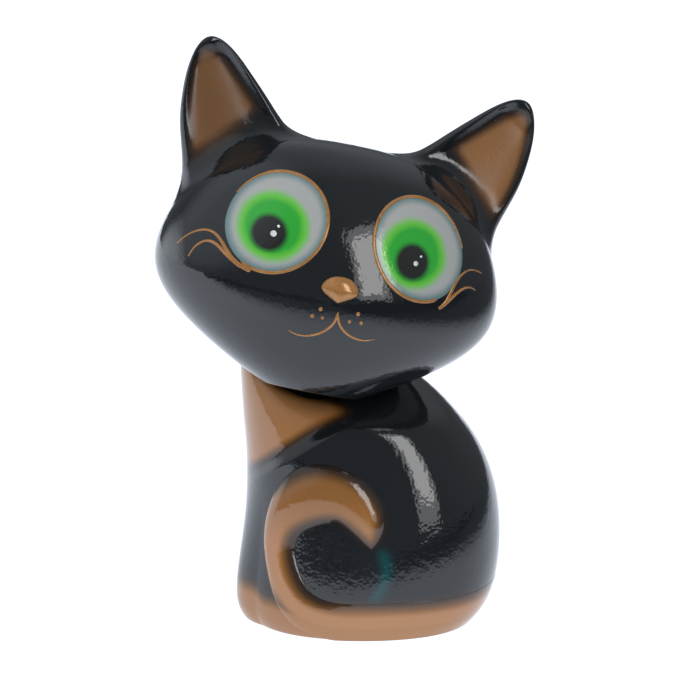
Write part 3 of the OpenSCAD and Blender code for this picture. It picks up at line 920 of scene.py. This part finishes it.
# %% [markdown]
# ## The other finishes
# The enamel of the eyes mixes its colours by distance. The brush lines are bronze paint
# with flakes that catch the light, the dots in the pupils are white, and the foot is bare
# clay with grog in it.

# %% Eye, line, dot and clay materials
enamel = Paint("airbrushed_eye_enamel", IOR=GLOSS_IOR)
cloud = enamel.noise(160, 3.0) - 0.5
iris = enamel.stain("iris") + cloud * 1.2
pupil = enamel.stain("pupil") + cloud * 0.5
edge = enamel.stain("edge") + cloud * 0.03
colour = enamel.mix(iris.soft(9.5, 12.5), (0.025, 0.36, 0.035), (0.12, 0.50, 0.05))
colour = enamel.mix(iris.soft(11.8, 15.8), colour, (0.37, 0.38, 0.375))
colour = enamel.mix(edge.soft(0.80, 1.0), colour, (0.11, 0.20, 0.20))
colour = enamel.mix(pupil.soft(8.4, 5.6), colour, (0.015, 0.016, 0.015))
enamel.feed(enamel.shader, {"Base Color": colour, "Roughness": 0.05})
orange_peel(enamel)

bronze = Paint("bronze_brush_paint", IOR=1.6, Metallic=0.25)
fleck = bronze.noise(2600, 2.0).soft(0.45, 0.7)
streak = bronze.noise(240, 3.0).soft(0.3, 0.7)
colour = bronze.mix(streak, (0.34, 0.150, 0.038), (0.44, 0.205, 0.070))
colour = bronze.mix(fleck * 0.35, colour, (0.62, 0.36, 0.16))
bronze.feed(bronze.shader, {"Base Color": colour, "Roughness": 0.16 + fleck * 0.12})
orange_peel(bronze)

white = Paint("white_dot_paint", Roughness=0.12)
thin = white.noise(500).soft(0.3, 0.7)
white.feed(white.shader, {"Base Color": white.mix(thin, (0.62, 0.62, 0.60), (0.82, 0.82, 0.80))})

GROG_HIGH = 0.0003          # metres of height for one unit of noise
raw = Paint("raw_clay", Roughness=0.85)
grog = raw.noise(700, 4.0, 0.7)
stain = raw.noise(30, 3.0).soft(0.35, 0.7)
colour = raw.mix(stain, CLAY, (0.47, 0.37, 0.28))
colour = raw.mix(grog.soft(0.55, 0.7) * 0.5, colour, (0.30, 0.22, 0.16))
raw.feed(raw.shader, {"Base Color": colour})
raw.bump(grog, GROG_HIGH)

PAINTED = {"body_casting": glaze, "tail_relief": glaze, "head_casting": glaze,
           "ear_casting_left": glaze, "ear_casting_right": glaze,
           "eye_enamel_left": enamel, "eye_enamel_right": enamel, "nose_button": bronze,
           "eye_lines_left": bronze, "eye_lines_right": bronze, "mouth_line": bronze,
           "whisker_dots": bronze, "pupil_dots": white, "floor_plate": raw}
for name, paint in PAINTED.items():
    mesh = bpy.data.objects[name].data
    mesh.materials.clear()
    mesh.materials.append(paint.material)
print("painted", len(PAINTED), "pieces")

# %% [markdown]
# ## Studio
# A black gloss object shows the room more than itself. What the glaze mirrors of the floor
# makes the grey sheen under the cheeks and chin: it glows round the figurine and dims
# further forward and to the right, which keeps the flank black. To the camera the floor is
# plain white. A dim room with a few brighter patches does the rest. One softbox with a
# fainter halo gives the crisp highlights, and two fills that no surface mirrors bring out
# the tan.

# %% Floor and surround
WIDE = 14.0                 # metres from the middle of the floor to its edge
FLOOR_DIM = 0.12            # share of the glow that is left where it dims
FLOOR_WHITE, ROOM_WHITE = 1.2, 1.5      # what the camera sees of the floor and the room
FLOOR_PEAK = 2.5            # strength of the emission, above the brightest glow

floor_mesh = bpy.data.meshes.new("studio_floor")
corners = [(-WIDE, -WIDE, 0), (WIDE, -WIDE, 0), (WIDE, WIDE, 0), (-WIDE, WIDE, 0)]
floor_mesh.from_pydata(corners, [], [(0, 1, 2, 3)])
floor = bpy.data.objects.new("studio_floor", floor_mesh)
bpy.context.scene.collection.objects.link(floor)
pale = Paint("pale_floor", Roughness=0.9)
x, y = pale.axis("X"), pale.axis("Y")
front = (y - x * 0.25).soft(-0.60, -0.19) * (1 - FLOOR_DIM) + FLOOR_DIM
right = (x / (y + 1.3)).soft(0.34, 0.13) * (1 - FLOOR_DIM) + FLOOR_DIM
seen = pale.node("ShaderNodeLightPath", {}, {}, "Is Camera Ray")
glow = front * right * (1.15 + x.soft(-0.03, -0.40) * 0.25) * (1 - seen) + seen * FLOOR_WHITE
glow = pale.mix(glow * (1 / FLOOR_PEAK), (0, 0, 0), (0.90, 0.96, 1.07))
pale.feed(pale.shader, {"Base Color": (0, 0, 0, 1), "Emission Color": glow,
                        "Emission Strength": FLOOR_PEAK, "Specular IOR Level": 0.0})
floor_mesh.materials.append(pale.material)

world = bpy.data.worlds.new("room")
bpy.context.scene.world = world
world.use_nodes = True
room = Room(world.node_tree)
ROOM_DIM = 0.13
# Each patch of light: its direction, its inner and outer radius in degrees, its radiance.
PATCHES = [(-116, -4, 8, 30, 1.4), (-85, 42, 20, 50, 0.45),
           (95, 45, 20, 62, 0.10), (180, 50, 15, 45, 0.2)]
dim = ROOM_DIM + sum(room.lobe(*where) * radiance for *where, radiance in PATCHES)
seen = room.node("ShaderNodeLightPath", {}, {}, "Is Camera Ray")
room.feed(room.tree.nodes["Background"], {"Color": (0.90, 0.96, 1.04, 1),
                                          "Strength": dim + seen * ROOM_WHITE})


# %% Softboxes
def softbox(name, at, aim, size, radiance):
    """Area light of the given size in metres, whose power gives the radiance asked for: the
    power is pi times the area times the radiance."""
    light = bpy.data.lights.new(name, "AREA")
    light.shape, light.size, light.size_y = "RECTANGLE", size[0], size[1]
    light.energy = math.pi * size[0] * size[1] * radiance
    lamp = bpy.data.objects.new(name, light)
    bpy.context.scene.collection.objects.link(lamp)
    lamp.location = at
    ahead = np.array(aim) - np.array(at)
    yaw, level = math.atan2(ahead[0], ahead[1]), math.hypot(ahead[0], ahead[1])
    lamp.rotation_euler = (math.pi / 2 + math.atan2(ahead[2], level), 0, -yaw)
    lamp.visible_camera = False
    return lamp


MIDDLE, ABOVE = (0.0, 0.0, 0.12), (0.0, 0.0, 0.30)      # places to aim at
FILL_SIZE = (1.4, 1.4)
softbox("strip", (0.76, -0.95, 0.74), ABOVE, (0.30, 1.05), 3.2)
softbox("strip_halo", (0.77, -0.97, 0.74), ABOVE, (0.48, 1.40), 1.6)
for lamp in (softbox("fill_front", (-0.7, -2.0, 1.2), MIDDLE, FILL_SIZE, 3.0),
             softbox("fill_top", (0.1, -0.3, 2.2), MIDDLE, FILL_SIZE, 2.0)):
    lamp.visible_glossy = False         # these two only bring out the tan
